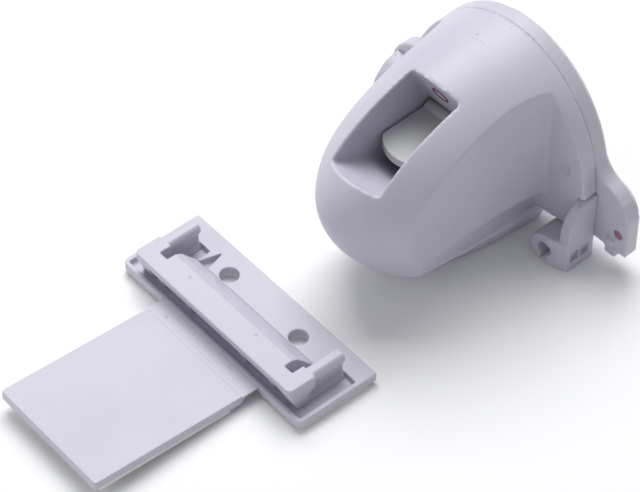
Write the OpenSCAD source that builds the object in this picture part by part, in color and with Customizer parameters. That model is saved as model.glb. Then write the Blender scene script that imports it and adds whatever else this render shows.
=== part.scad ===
// Two-part cabinet safety lock. The lock body is a hollow bullet-nosed cover with a push
// lever; the catch plate carries a bulb-headed rail and a tongue that folds on a thin web.
// Lengths are millimetres, angles are degrees. The origin is the centre of the catch plate's
// base, on the surface that it stands on; X runs along the rail and Z points up.

/* [Placing] */
// Sideways place of the lock body beside the catch plate
lock_x = 5.6; // [0:0.1:12]
// Distance from the catch plate's centre to the lock body's seam
lock_y = 77.7; // [75:0.1:120]
// Turn of the lock body about the vertical
lock_yaw = 2.5; // [-8:0.5:8]

/* [Catch plate] */
// Reach of the plate past each end of the rail
rail_end = 4.25; // [3:0.05:10]
// Depth of the catch plate across the rail
rail_depth = 23.7; // [23:0.1:30]
// Corner radius of the catch plate
plate_corner = 1.6; // [0.8:0.1:2.4]
// Thickness of the plastic in the catch plate
plate_thickness = 2.5; // [2.2:0.1:4]
// Thickness of the tray's floor
tray_floor = 1; // [0.8:0.1:1.4]
// Width of the tray's rim
tray_rim = 1.2; // [0.8:0.1:2]
// Depth of the raised rear strip at the ends of the tray
end_strip = 5.5; // [4.8:0.1:6]
// Depth of the raised rear strip behind the slope
mid_strip = 9.6; // [9:0.1:11]
// Radius of the screw holes
hole_radius = 2.45; // [2:0.05:2.6]
// Distance between the screw holes
hole_spacing = 26; // [20:0.5:32]
// Distance of the screw holes from the rear edge
hole_setback = 6.8; // [6:0.1:7.4]
// Width of the three-cornered pocket beside the left screw hole
pocket_width = 3.4; // [2:0.1:4]
// Depth of the three-cornered pocket from front to back
pocket_depth = 6; // [4:0.1:7]
// Distance of the three-cornered pocket from the plate's end
pocket_inset = 12.1; // [11.9:0.1:14]

/* [Rail] */
// Height of the rail's top above the surface
rail_top = 10; // [9.4:0.1:12]
// Reach of the rail past the centre of each ear
bar_end = 2.25; // [2.1:0.05:2.6]
// Distance of the lip's front edge behind the plate's front edge
lip_setback = 0.6; // [0.5:0.1:2]
// Overhang of the lip in front of its wall
lip_overhang = 3; // [2:0.1:3.4]
// Thickness of the lip
lip_thickness = 1.8; // [1.2:0.1:2.4]
// Thickness of the wall that carries the lip
lip_wall = 1.6; // [1.2:0.1:2]
// Length of the slope along the rail
slope_length = 44; // [38:0.5:45]
// Depth of the flat top behind the lip's wall
crown_depth = 2.4; // [1.5:0.1:3.4]
// Thickness of the four ribs under the lip
rib_thickness = 0.8; // [0.6:0.1:1.4]
// Distance of the inner ribs from the middle
rib_inner = 10.4; // [9:0.1:12]
// Distance of the outer ribs from the middle
rib_outer = 20.7; // [18:0.1:21]
// Radius of the bulb along each ear
ear_radius = 1.8; // [1.5:0.05:2]
// Height of the bulb's centre above the surface
ear_height = 8.4; // [8.2:0.1:8.8]
// Thickness of the ear's neck
ear_neck = 1.6; // [1.2:0.1:1.8]
// Width of the ear's foot
ear_foot = 4; // [3:0.1:4.6]
// Width of the block at the front of each ear
root_width = 4.4; // [4:0.1:5]
// Depth of the block at the front of each ear
root_depth = 8; // [6.5:0.1:9]

/* [Tongue] */
// Width of the tongue
tongue_width = 36; // [30:0.2:44]
// Length of the tongue
tongue_length = 43; // [30:0.5:60]
// Sideways place of the tongue
tongue_x = 0.6; // [-1:0.1:1]
// Upward lean of the tongue at rest
tongue_lift = 3.5; // [0:0.1:6]
// Corner radius of the tongue
tongue_corner = 0.8; // [0.4:0.1:2]
// Length of the folding web
web_length = 4.8; // [4.4:0.1:6]
// Thickness of the folding web
web_thickness = 0.6; // [0.4:0.05:0.8]
// Radius where the web grows out of the tongue's end
web_fillet = 1.6; // [1:0.1:1.8]

/* [Pads] */
// Thickness of the adhesive foam pads
pad_thickness = 1; // [0.8:0.1:1.5]
// Distance of each pad's front and rear edge inside its plate
pad_inset = 1.2; // [0.8:0.1:2]
// Distance of each pad's sides inside its plate
pad_side = 0.2; // [0.1:0.1:1]
// Distance of the tongue pad's rear end from the folding web
pad_setback = 3; // [2:0.5:6]
// Distance of the release film's edge inside its pad
film_inset = 0.8; // [0.2:0.1:1.5]
// Thickness of the release film behind the lock body
film_thickness = 0.2; // [0.15:0.05:0.4]

/* [Lock body] */
// Half width of the lock body at its seam
half_width = 29.7; // [29.2:0.1:30.2]
// Sideways place of the seam's arch and the back plate
seam_shift = 0.6; // [0:0.1:1]
// Height of the lock body
lock_height = 56; // [55:0.1:60]
// Height at which the arch starts to close
arch_spring = 21; // [18:0.5:23]
// Depth of the nose in front of the seam
nose_depth = 59; // [56:0.5:61]
// Height of the foremost point of the nose
nose_height = 28; // [26:0.5:30]
// Depth of the nose at the surface
foot_depth = 41; // [40:0.5:44]
// Wall of the cover
wall = 2; // [1.6:0.1:2.2]
// Thickness of the flange beside the nose
flange_thickness = 5; // [4.9:0.1:5.6]
// Thickness of the flange at its outer edge
flange_edge = 4.2; // [4:0.1:4.6]
// Height of the flange's lower edge
flange_foot = 9.1; // [9.1:0.1:10]
// Half width of the nose between the side scoops
core_half = 15.8; // [15.4:0.1:17]
// Reach of the sweep where a scoop meets the flange
flare_reach = 2.4; // [1:0.1:4]
// Length of that sweep along the nose
flare_length = 20; // [10:0.5:30]
// Height at which the scoop's wall starts to draw in
taper_height = 15; // [14.6:0.1:16]
// Height of the cove's deepest line under the scoop
cove_height = 11; // [10.6:0.1:11.6]
// Half width between the coves
cove_half = 13.4; // [13.3:0.1:14]
// Radius of the cove
cove_radius = 3.6; // [3:0.1:3.8]
// Height of the lower rim's fullest line
rim_height = 5; // [4:0.1:6]
// Half width of the lower rim there
rim_half = 15.1; // [14.8:0.1:15.3]
// Half width of the lower rim on the surface
foot_half = 13.4; // [13:0.1:14]

/* [Window] */
// Half width of the window
window_half = 7.9; // [7.8:0.1:8]
// Depth of the window's top edge in front of the seam
window_top_y = 25.4; // [25:0.1:26.5]
// Distance of the window's top edge below the cover's top
window_drop = 4.3; // [4:0.1:4.8]
// Depth of the window's bottom edge in front of the seam
window_foot_y = 47.5; // [46.5:0.1:48.5]
// Height of the window's bottom edge
window_foot_z = 36.4; // [36:0.1:37]
// Depth of the ramp's inner edge in front of the seam
ramp_y = 33.4; // [33:0.1:34]
// Height of the ramp's inner edge
ramp_z = 28; // [27.5:0.1:28.5]
// Thickness of the walls of the well
well_wall = 1.6; // [1.2:0.1:1.8]
// Outer radius of the ring mark
ring_radius = 2.5; // [2:0.1:3]
// Width of the ring mark's line
ring_line = 0.5; // [0.4:0.05:1]
// Thickness of the ring mark
ring_thickness = 0.15; // [0.1:0.05:0.3]
// Distance of the ring mark's centre from the window's top edge
ring_drop = 4.4; // [4:0.1:6]

/* [Lever and latch] */
// Depth of both pins in front of the seam
pin_y = 19.5; // [19:0.1:20]
// Height of the lever's pin
lever_pin_z = 35.5; // [35.3:0.1:35.7]
// Height of the claw's pin
latch_pin_z = 19; // [18.8:0.1:19.4]
// Radius of the pins
pin_radius = 1; // [0.8:0.05:1.2]
// Running clearance round a pin
pin_clearance = 0.05; // [0.03:0.01:0.1]
// Radius of the lever's barrel
barrel_radius = 3; // [2.6:0.05:3.05]
// Clearance beside the lever
lever_clearance = 0.6; // [0.4:0.1:0.9]
// Height of the lever's top face above its pin
lever_rise = 2; // [1.6:0.1:2.2]
// Thickness of the lever's blade
blade_thickness = 2.2; // [1.8:0.1:2.4]
// Reach of the lever's blade in front of its pin
blade_reach = 19; // [17:0.5:20]
// Bow of the blade's front edge
blade_bow = 3.5; // [2:0.1:5]
// Length of the lever's lower arm below its pin
arm_length = 9.2; // [9:0.1:9.3]
// Thickness of the lever's lower arm
arm_thickness = 1.8; // [1.4:0.1:2.2]
// Width of both inner arms
arm_width = 6; // [4:0.2:8]
// Gap between the lever's arm and the claw
arm_gap = 0.35; // [0.3:0.05:0.5]
// Radius of the claw's hub
hub_radius = 3; // [2.6:0.1:3.2]
// Width of the claw
claw_width = 10; // [8:0.2:11]
// Thickness of the claw's blade
claw_thickness = 3; // [2.4:0.1:3.4]
// Height of the claw's toe above the surface
toe_height = 1.6; // [1.2:0.1:2]
// Thickness of the claw's toe
toe_thickness = 1.9; // [1.6:0.1:2.2]
// Reach of the claw's toe behind its blade
toe_reach = 3; // [2:0.1:3.4]
// Wire radius of the return spring
wire_radius = 0.25; // [0.2:0.05:0.35]
// Mean radius of the return spring
coil_radius = 1.8; // [1.6:0.1:2]
// Number of coils of the return spring
coils = 8; // [5:1:9]

/* [Inner frame] */
// Half width of the inner frame
frame_half = 12; // [11.8:0.1:12.6]
// Thickness of the frame's cheeks and wall
frame_wall = 2; // [1.6:0.1:2.2]
// Height of the frame's foot
frame_foot = 16; // [15.9:0.1:16.4]
// Height of the frame's top
frame_top = 42; // [41:0.5:44]
// Height of the frame's two screws
frame_screw_z = 33; // [32:0.5:36]
// Distance between the frame's two screws
frame_screw_spacing = 14; // [12:0.5:15]

/* [Back plate] */
// Thickness of the back plate
back_thickness = 4.2; // [3:0.1:4.4]
// Height of the back plate's lower edge
back_foot = 6.2; // [5.8:0.1:7]
// Reach of the lobes past the right fin's place
lobe_out = 7.1; // [6.5:0.1:9.5]
// Height of the top of the lobes
lobe_top = 25.7; // [25.5:0.1:27]
// Radius of the lobes' outer corner
lobe_radius = 9.2; // [7:0.1:9.4]
// Radius between the lobes and the arch
lobe_fillet = 8; // [5:0.5:9]
// Distance of the tabs from the ends of the lobes
tab_inset = 5; // [4.6:0.1:5.6]
// Width of the tabs
tab_width = 3.4; // [2.6:0.1:3.6]
// Height of the tabs' lower end
tab_foot = 3.9; // [2.5:0.1:4.5]
// Distance of the peg from its tab, sideways
peg_shift = 0.6; // [0.4:0.1:1.2]
// Height of the peg's centre
peg_height = 9.4; // [9:0.1:9.6]
// Radius of the peg
peg_radius = 1.2; // [0.8:0.1:1.3]
// Length of the peg in front of the plate
peg_length = 0.8; // [0.2:0.1:1.2]
// Radius over the corners of the six-sided hole
hex_radius = 1.5; // [1.2:0.1:1.8]
// Distance of the six-sided hole from the peg, sideways
hex_shift = 1.4; // [1.2:0.1:1.6]
// Distance of the six-sided hole from the peg, upward
hex_rise = 2.8; // [2.8:0.1:3.2]

/* [Hook clips] */
// Distance between the two hooks, and between the two ears
hook_pitch = 53.8; // [53.2:0.1:54.2]
// Sideways place of the two hooks' middle on the lock body
hook_shift = -2.4; // [-2.6:0.1:-2]
// Clearance between a hook and the bulb of an ear
hook_clearance = 0.3; // [0.2:0.05:0.4]
// Wall of the hooks
hook_wall = 2.4; // [1.8:0.1:2.4]
// Depth of the hooks' front face in front of the seam
hook_front = 10.8; // [10.2:0.1:12]
// Length of the hooks
hook_length = 7.8; // [6:0.1:8]
// Distance of the right fin's outer face from its hook's centre
fin_out = 6.6; // [6.4:0.1:6.9]
// How much further out the left fin stands
left_fin_out = 2.1; // [0:0.1:3]
// Thickness of the fins
fin_thickness = 3; // [2.6:0.1:3.2]
// Depth of the fins
fin_depth = 9.2; // [9:0.1:10]
// Height of the fins
fin_height = 20.8; // [20:0.1:21]
// Width of the pockets in the fins
fin_pocket_width = 2.9; // [2:0.1:3]
// Height of the pockets in the fins
fin_pocket_height = 3.1; // [2.4:0.1:4]
// Depth of the pockets in the fins
fin_pocket_depth = 1.2; // [0.8:0.1:1.4]

/* [Screws] */
// Radius of the screws
screw_radius = 1.2; // [1:0.05:1.3]
// Radius of the screw heads
head_radius = 2.3; // [2:0.1:2.4]
// Height of the screw heads
head_height = 1.3; // [1.1:0.1:1.5]
// Length of the screws
screw_length = 8; // [7:0.1:8.4]
// Distance of the lower cover screws from the middle
low_screw_x = 24.8; // [24:0.1:25]
// Height of the lower cover screws
low_screw_z = 28.3; // [27:0.1:29]
// Distance of the upper cover screws from the middle
high_screw_x = 7; // [6.5:0.1:8]
// Distance of the upper cover screws below the cover's top
high_screw_drop = 6.5; // [6:0.1:7]

/* [Hidden] */
$fn = 48;

plastic_colour = "#d8d7e4";
lever_colour = "#b5b9b8";
inner_colour = "#c9c9d2";
pad_colour = "#f2f2ee";
film_colour = "#8e3a44";
ring_colour = "#8c2f45";
steel_colour = "#b9bcc0";

// Overrun of every cut, and the thickness of the slices that a blend starts from
cut_over = 1;
sliver = 0.01;

// Counts of facets
rows_low = 6;
rows_high = 11;
columns = 30;
flare_steps = 6;
foot_steps = 24;
coil_rings = 8;
wire_sides = 6;

// Shares that shape the cover
arch_share = 0.52;
nose_share = 0.47;
under_share = 1.6;
plan_share = 1.85;
foot_share = 1.8;
flare_share = 3;
cap_share = 0.9995;

// Heights and edges of the catch plate
plate_top = pad_thickness + plate_thickness;
floor_z = pad_thickness + tray_floor;
plate_front = -rail_depth / 2;
plate_rear = rail_depth / 2;
lip_front = plate_front + lip_setback;
wall_front = lip_front + lip_overhang;
wall_back = wall_front + lip_wall;
lip_under = rail_top - lip_thickness;
slope_half = slope_length / 2;
slope_foot = plate_rear - mid_strip;
strip_front = plate_rear - end_strip;
hole_y = plate_rear - hole_setback;
ear_x = hook_pitch / 2;
bar_half = ear_x + bar_end;
bar_length = 2 * bar_half;
rail_length = 2 * (bar_half + rail_end);

// The tongue
web_end = plate_front - web_length;
tongue_end = web_end - tongue_length;
web_top = plate_top - tray_floor / 5;
fold_z = web_top - web_thickness / 2;

// The hook's hollow takes the ear's bulb
hook_hollow = ear_radius + hook_clearance;
hook_outer = hook_hollow + hook_wall;
hook_slot = ear_neck + 2 * hook_clearance;
fin_half = ear_x + fin_out;
fin_inner = fin_half - fin_thickness;

// Walls of the window's well, as points in depth and height
brow = [-window_top_y, lock_height - window_drop];
brow_foot = [-pin_y, lever_pin_z + barrel_radius + lever_clearance];
sill = [-window_foot_y, window_foot_z];
ramp = [-ramp_y, ramp_z];
brow_way = (brow - brow_foot) / norm(brow - brow_foot);
ramp_way = (sill - ramp) / norm(sill - ramp);
brow_out = [brow_way.y, -brow_way.x];
ramp_out = [-ramp_way.y, ramp_way.x];
well_half = window_half + well_wall;
brow_tilt = atan2(brow_way.y, brow_way.x);

lever_half = window_half - lever_clearance;
bow_radius = (lever_half * lever_half + blade_bow * blade_bow) / (2 * blade_bow);
arm_front = pin_y + arm_gap / 2 + arm_thickness + arm_gap;
arm_face = pin_y + arm_gap + arm_gap;
claw_front = pin_y + hub_radius + arm_thickness / 2;
upper_top = lever_pin_z - arm_length + arm_thickness;
seat_z = upper_top - coil_radius - wire_radius;
seat_front = pin_y - arm_gap - arm_thickness;
back_rear = back_thickness + pad_thickness;
lobe_half = fin_half + lobe_out;
tab_x = lobe_half - tab_inset;
high_screw_z = lock_height - high_screw_drop;

// Half width of the arch at a height, drawn in by an inset
function arch_reach(z, inset) = (half_width - inset) * (z <= arch_spring ? 1
    : pow(max(0, 1 - pow((z - arch_spring) / (lock_height - inset - arch_spring), 2)), arch_share));

// Depth of the nose at a height, drawn in by an inset
function nose_reach(z, inset) = z >= nose_height
    ? (nose_depth - inset)
        * pow(max(0, 1 - pow((z - nose_height) / (lock_height - inset - nose_height), 2)), nose_share)
    : nose_depth - inset - (nose_depth - foot_depth) * pow((nose_height - z) / nose_height, under_share);

// Heights of the cover's level sections
function levels(inset) = concat([-cut_over],
    [for (i = [0 : rows_low]) nose_height * i / rows_low],
    [for (i = [1 : rows_high]) nose_height
        + (lock_height - inset - nose_height) * sin(90 * i / rows_high) * (i == rows_high ? cap_share : 1)]);

// Rounded outline, open to the rear, from one side round the front to the other
function bullet(half, depth, share, count, rear) = concat([[half, rear]],
    [for (i = [0 : count]) let (t = 180 * i / count, c = cos(t))
        [half * sign(c) * pow(abs(c), 2 / share), -depth * pow(abs(sin(t)), 2 / share)]],
    [[-half, rear]]);

// Sweep of a scoop's wall where it meets the flange
function flare(share) = flare_reach * pow(1 - share, flare_share);
function side_points(half, rear) = concat([[half + flare_reach, rear]],
    [for (i = [0 : flare_steps]) let (s = i / flare_steps)
        [half + flare(s), -flange_thickness - flare_length * s]],
    [[half, -nose_depth - cut_over]]);
function mirrored(points) = [for (i = [len(points) - 1 : -1 : 0]) [-points[i].x, points[i].y]];

// Arch of the seam as an outline in width and height
arch_levels = concat([back_foot], [for (i = [0 : 2 * rows_high]) arch_spring
    + (lock_height - arch_spring) * sin(90 * i / (2 * rows_high))]);
function arch_points(inset) = [for (z = arch_levels)
    [arch_reach(z, 0) * (half_width - inset) / half_width,
        back_foot + inset + (z - back_foot) * (lock_height - back_foot - 2 * inset) / (lock_height - back_foot)]];

// The fillet between arch and lobe touches both, at an angle round the lobe's corner
lobe_centre = [lobe_half - lobe_radius, lobe_top - lobe_radius];
touch_steps = 40;
function fillet_at(a) = lobe_centre + (lobe_radius + lobe_fillet) * [cos(a), sin(a)];
function touch_reach(c) = [for (i = [0 : touch_steps]) let (h = lobe_fillet * i / touch_steps)
    arch_reach(c.y - h, 0) + sqrt(lobe_fillet * lobe_fillet - h * h)];
function fillet_angle(low, high, turns) = turns == 0 ? low : let (a = (low + high) / 2, c = fillet_at(a))
    max(touch_reach(c)) > c.x ? fillet_angle(low, a, turns - 1) : fillet_angle(a, high, turns - 1);
fillet = fillet_at(fillet_angle(0, 90, touch_steps));
touch = touch_reach(fillet);
touch_drop = lobe_fillet / touch_steps * [for (i = [0 : touch_steps]) if (touch[i] == max(touch)) i][0];
touch_point = fillet - [sqrt(lobe_fillet * lobe_fillet - touch_drop * touch_drop), touch_drop];

// Centre line of the return spring along its axis
spring_length = seat_front - frame_wall;
spring_pitch = (spring_length - 4 * wire_radius) / coils;
spring_rings = coils * coil_rings;
function spring_point(i) = let (t = 360 * i / coil_rings)
    [coil_radius * cos(t), 2 * wire_radius + spring_pitch * i / coil_rings, coil_radius * sin(t)];
spring_path = concat([[coil_radius, 0, 0]], [for (i = [0 : spring_rings]) spring_point(i)],
    [[coil_radius, spring_length, 0]]);
spring_last = len(spring_path) - 1;
spring_gap = min([for (i = [0 : spring_last]) for (j = [i + coil_rings / 2 : 1 : spring_last])
    norm(spring_path[i] - spring_path[j])]) - 2 * wire_radius;
echo(spring_least_gap_to_itself = spring_gap);

module in_lock() {
    translate([lock_x, lock_y, 0])
        rotate([0, 0, lock_yaw])
            children();
}

// An outline in depth and height, drawn out across the part
module across(width) {
    rotate([90, 0, 90])
        translate([0, 0, -width / 2])
            linear_extrude(width)
                children();
}

// An outline in width and height, drawn out from front to back
module behind(front, depth) {
    translate([0, front + depth, 0])
        rotate([90, 0, 0])
            linear_extrude(depth)
                children();
}

module both_sides() {
    children();
    mirror([1, 0, 0])
        children();
}

module rounded_outline(width, depth, radius) {
    square([width - 2 * radius, depth], center = true);
    square([width, depth - 2 * radius], center = true);
    for (x = [-1, 1], y = [-1, 1])
        translate([x * (width / 2 - radius), y * (depth / 2 - radius)])
            circle(radius);
}

// Strip of a given thickness along a line, on the side that the way points to
module wall_strip(from, to, out, thickness) {
    polygon([from, to, to + out * thickness, from + out * thickness]);
}

// The bullet form, closed behind the seam
module hood(inset) {
    zs = levels(inset);
    rings = [for (z = zs) bullet(arch_reach(z, inset), nose_reach(z, inset), plan_share, columns, cut_over)];
    n = len(rings[0]);
    points = [for (k = [0 : len(zs) - 1]) for (p = rings[k])
        [p.x + seam_shift * (1 + p.y / nose_depth), p.y, zs[k]]];
    sides = [for (k = [0 : len(zs) - 2]) for (c = [0 : n - 1]) let (d = (c + 1) % n)
        each [[k * n + c, k * n + d, (k + 1) * n + d], [k * n + c, (k + 1) * n + d, (k + 1) * n + c]]];
    low = [for (c = [n - 1 : -1 : 0]) c];
    high = [for (c = [0 : n - 1]) (len(zs) - 1) * n + c];
    polyhedron(points, concat([low, high], sides));
}

// The nose between the scoops, drawn in by an inset, with its overrun below and behind
module core(inset, over) {
    side = side_points(core_half - inset, over);
    difference() {
        union() {
            translate([0, 0, taper_height])
                linear_extrude(lock_height)
                    polygon(concat(side, mirrored(side)));
            hull() {
                translate([-core_half + inset, -nose_depth, taper_height])
                    cube([2 * (core_half - inset), nose_depth + over, sliver]);
                rim_slice(rim_height, rim_half - inset, nose_reach(rim_height, inset), over);
            }
            hull() {
                rim_slice(rim_height, rim_half - inset, nose_reach(rim_height, inset), over);
                rim_slice(-over, foot_half - inset, foot_depth - inset, over);
            }
        }
        both_sides()
            translate([cove_half + cove_radius, over + cut_over, cove_height])
                rotate([90, 0, 0])
                    cylinder(2 * nose_depth, cove_radius + inset, cove_radius + inset);
    }
}

module rim_slice(height, half, depth, over) {
    translate([0, 0, height])
        linear_extrude(sliver)
            polygon(bullet(half, depth, foot_share, foot_steps, over));
}

// The flange behind the scoops, cut back beside the right fin
module flange_block() {
    side = [[fin_half, 0], [fin_half, -flange_edge], [half_width, -flange_edge],
        [core_half, -flange_thickness]];
    intersection() {
        translate([0, 0, flange_foot])
            linear_extrude(lock_height)
                polygon(concat(side, mirrored(side)));
        union() {
            translate([-fin_half, -nose_depth, fin_height])
                cube([2 * fin_half, nose_depth, lock_height]);
            translate([-fin_half, -nose_depth, flange_foot])
                cube([fin_half + fin_inner + hook_shift - sliver, nose_depth, lock_height]);
        }
    }
}

// The walls of the window's well
module well_walls() {
    both_sides()
        translate([window_half + well_wall / 2, 0, 0])
            across(well_wall)
                polygon([brow + brow_way * lock_height + brow_out * well_wall,
                    brow_foot + brow_out * well_wall, [-pin_y + barrel_radius, ramp_z],
                    ramp + ramp_out * well_wall, sill + ramp_way * lock_height + ramp_out * well_wall]);
    across(2 * well_half)
        wall_strip(brow_foot, brow + brow_way * lock_height, brow_out, well_wall);
    across(2 * well_half)
        wall_strip(ramp, sill + ramp_way * lock_height, ramp_out, well_wall);
}

module window_cut() {
    across(2 * window_half)
        polygon([brow_foot, brow + brow_way * lock_height, sill + ramp_way * lock_height, ramp]);
}

module cover_screw_places() {
    for (x = [-low_screw_x, low_screw_x])
        translate([x, 0, low_screw_z])
            children();
    for (x = [-high_screw_x, high_screw_x])
        translate([x, 0, high_screw_z])
            children();
}

module frame_screw_places() {
    for (x = [-frame_screw_spacing / 2, frame_screw_spacing / 2])
        translate([x, 0, frame_screw_z])
            children();
}

// A round bore or bar along the depth, from a front face back
module rod(front, length, radius) {
    translate([0, front + length, 0])
        rotate([90, 0, 0])
            cylinder(length, radius, radius);
}

// A countersunk screw whose head is level with the back plate's rear face
module screw(grow) {
    translate([0, back_thickness, 0])
        rotate([90, 0, 0])
            cylinder(screw_length + grow, screw_radius, screw_radius);
    translate([0, back_thickness + grow, 0])
        rotate([90, 0, 0])
            cylinder(head_height + grow, head_radius + grow, screw_radius);
}

module driver_slot() {
    for (a = [0, 90])
        translate([0, back_thickness, 0])
            rotate([0, a, 0])
                cube([head_radius, head_height, head_height / 3], center = true);
}

module cross_bar(y, z, radius, half) {
    translate([-half, -y, z])
        rotate([0, 90, 0])
            cylinder(2 * half, radius, radius);
}

module front_shell() {
    color(plastic_colour)
        in_lock()
            difference() {
                union() {
                    difference() {
                        intersection() {
                            hood(0);
                            union() {
                                core(0, 0);
                                flange_block();
                            }
                        }
                        intersection() {
                            hood(wall);
                            core(wall, cut_over);
                        }
                    }
                    intersection() {
                        hood(wall / 2);
                        well_walls();
                    }
                    intersection() {
                        hood(wall / 2);
                        for (x = [-high_screw_x, high_screw_x])
                            translate([x, 0, high_screw_z]) {
                                rod(-screw_length, screw_length, head_radius);
                                translate([-wall / 2, -screw_length, 0])
                                    cube([wall, screw_length, lock_height - high_screw_z]);
                            }
                    }
                }
                window_cut();
                cover_screw_places()
                    screw(0);
                cross_bar(pin_y, lever_pin_z, pin_radius + lever_clearance, well_half + cut_over);
            }
}

module ring_mark() {
    color(ring_colour)
        in_lock()
            translate([0, brow.x, brow.y])
                rotate([brow_tilt, 0, 0])
                    translate([0, -ring_drop, 0])
                        difference() {
                            cylinder(ring_thickness, ring_radius, ring_radius);
                            translate([0, 0, -cut_over])
                                cylinder(ring_thickness + 2 * cut_over, ring_radius - ring_line,
                                    ring_radius - ring_line);
                        }
}

module back_outline(inset) {
    arch = arch_points(inset);
    polygon(concat(arch, mirrored(arch)));
    both_sides()
        difference() {
            union() {
                translate([0, back_foot + inset])
                    square([lobe_half - inset, lobe_top - lobe_radius - back_foot - inset]);
                translate([0, back_foot + inset])
                    square([lobe_half - lobe_radius, lobe_top - back_foot - 2 * inset]);
                translate([lobe_half - lobe_radius, lobe_top - lobe_radius])
                    circle(lobe_radius - inset);
                polygon([[0, back_foot + inset], [lobe_centre.x, back_foot + inset], lobe_centre, fillet,
                    touch_point, [0, touch_point.y]]);
            }
            translate(fillet)
                circle(lobe_fillet + inset);
        }
}

// The left fin stands where a second peg and hole would be
module hex_place() {
    translate([tab_x + peg_shift + hex_shift + seam_shift, 0, peg_height + hex_rise])
        children();
}

module back_plate() {
    color(plastic_colour)
        in_lock()
            difference() {
                translate([seam_shift, 0, 0]) {
                    behind(0, back_thickness)
                        back_outline(0);
                    both_sides()
                        translate([tab_x - tab_width / 2, 0, tab_foot])
                            cube([tab_width, back_thickness, back_foot - tab_foot]);
                    translate([tab_x + peg_shift, 0, peg_height])
                        rod(-peg_length, peg_length + back_thickness / 2, peg_radius);
                }
                hex_place()
                    rotate([90, 0, 0])
                        cylinder(2 * back_rear, hex_radius, hex_radius, center = true, $fn = 6);
                cover_screw_places()
                    screw(sliver);
                frame_screw_places()
                    screw(sliver);
            }
}

module back_pad() {
    color(pad_colour)
        in_lock()
            difference() {
                translate([seam_shift, 0, 0])
                    behind(back_thickness, pad_thickness)
                        back_outline(pad_inset);
                hex_place()
                    rotate([90, 0, 0])
                        cylinder(2 * back_rear + cut_over, hex_radius, hex_radius, center = true, $fn = 6);
            }
}

module back_liner() {
    color(film_colour)
        in_lock()
            translate([seam_shift, 0, 0])
                behind(back_rear, film_thickness)
                    back_outline(pad_inset + film_inset);
}

module shell_screws() {
    color(steel_colour)
        in_lock()
            cover_screw_places()
                difference() {
                    screw(0);
                    driver_slot();
                }
}

module frame_screws() {
    color(steel_colour)
        in_lock()
            frame_screw_places()
                difference() {
                    screw(0);
                    driver_slot();
                }
}

module inner_frame() {
    color(inner_colour)
        in_lock()
            difference() {
                union() {
                    translate([-frame_half, -frame_wall, frame_foot])
                        cube([2 * frame_half, frame_wall, frame_top - frame_foot]);
                    both_sides()
                        translate([frame_half - frame_wall / 2, 0, 0])
                            across(frame_wall)
                                union() {
                                    polygon([[0, frame_foot], [0, frame_top],
                                        [-pin_y, lever_pin_z + barrel_radius],
                                        [-pin_y - barrel_radius, lever_pin_z],
                                        [-pin_y - barrel_radius, frame_foot]]);
                                    translate([-pin_y, lever_pin_z])
                                        circle(barrel_radius);
                                }
                    frame_screw_places()
                        rod(-screw_length, screw_length, head_radius);
                    translate([0, 0, seat_z])
                        rod(-frame_wall - coil_radius, frame_wall + coil_radius,
                            coil_radius - 2 * wire_radius);
                }
                cross_bar(pin_y, lever_pin_z, pin_radius, frame_half + cut_over);
                cross_bar(pin_y, latch_pin_z, pin_radius, frame_half + cut_over);
                frame_screw_places()
                    screw(0);
                cover_screw_places()
                    screw(pin_clearance);
            }
}

module lever_pin() {
    color(steel_colour)
        in_lock()
            cross_bar(pin_y, lever_pin_z, pin_radius, frame_half);
}

module latch_pin() {
    color(steel_colour)
        in_lock()
            cross_bar(pin_y, latch_pin_z, pin_radius, frame_half);
}

module release_lever() {
    color(lever_colour)
        in_lock()
            difference() {
                union() {
                    cross_bar(pin_y, lever_pin_z, barrel_radius, lever_half);
                    intersection() {
                        translate([0, 0, lever_pin_z + lever_rise - blade_thickness])
                            linear_extrude(blade_thickness)
                                union() {
                                    translate([-lever_half, -pin_y - blade_reach + bow_radius])
                                        square([2 * lever_half, blade_reach - bow_radius]);
                                    translate([0, -pin_y - blade_reach + bow_radius])
                                        circle(bow_radius, $fn = 2 * $fn);
                                }
                        translate([-lever_half, -pin_y - blade_reach, 0])
                            cube([2 * lever_half, blade_reach, lock_height]);
                    }
                    across(arm_width)
                        polygon([[-arm_face - arm_thickness, lever_pin_z - arm_length],
                            [-arm_face, lever_pin_z - arm_length],
                            [-pin_y + arm_thickness / 2, lever_pin_z - barrel_radius + blade_thickness],
                            [-pin_y - arm_thickness, lever_pin_z]]);
                }
                cross_bar(pin_y, lever_pin_z, pin_radius + pin_clearance, lever_half + cut_over);
            }
}

module latch_claw() {
    color(inner_colour)
        in_lock()
            difference() {
                union() {
                    cross_bar(pin_y, latch_pin_z, hub_radius, claw_width / 2);
                    across(arm_width)
                        polygon([[-arm_face + arm_gap, latch_pin_z], [-arm_face + arm_gap, upper_top],
                            [-seat_front, upper_top], [-seat_front, latch_pin_z]]);
                    across(claw_width)
                        polygon([[-pin_y, latch_pin_z - hub_radius], [-pin_y - hub_radius, latch_pin_z],
                            [-claw_front, latch_pin_z - 2 * hub_radius], [-claw_front, toe_height],
                            [-claw_front + claw_thickness + toe_reach, toe_height],
                            [-claw_front + claw_thickness + toe_reach, toe_height + toe_thickness],
                            [-claw_front + claw_thickness, toe_height + toe_thickness],
                            [-claw_front + claw_thickness, latch_pin_z - 2 * hub_radius]]);
                }
                cross_bar(pin_y, latch_pin_z, pin_radius + pin_clearance, claw_width / 2 + cut_over);
            }
}

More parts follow.
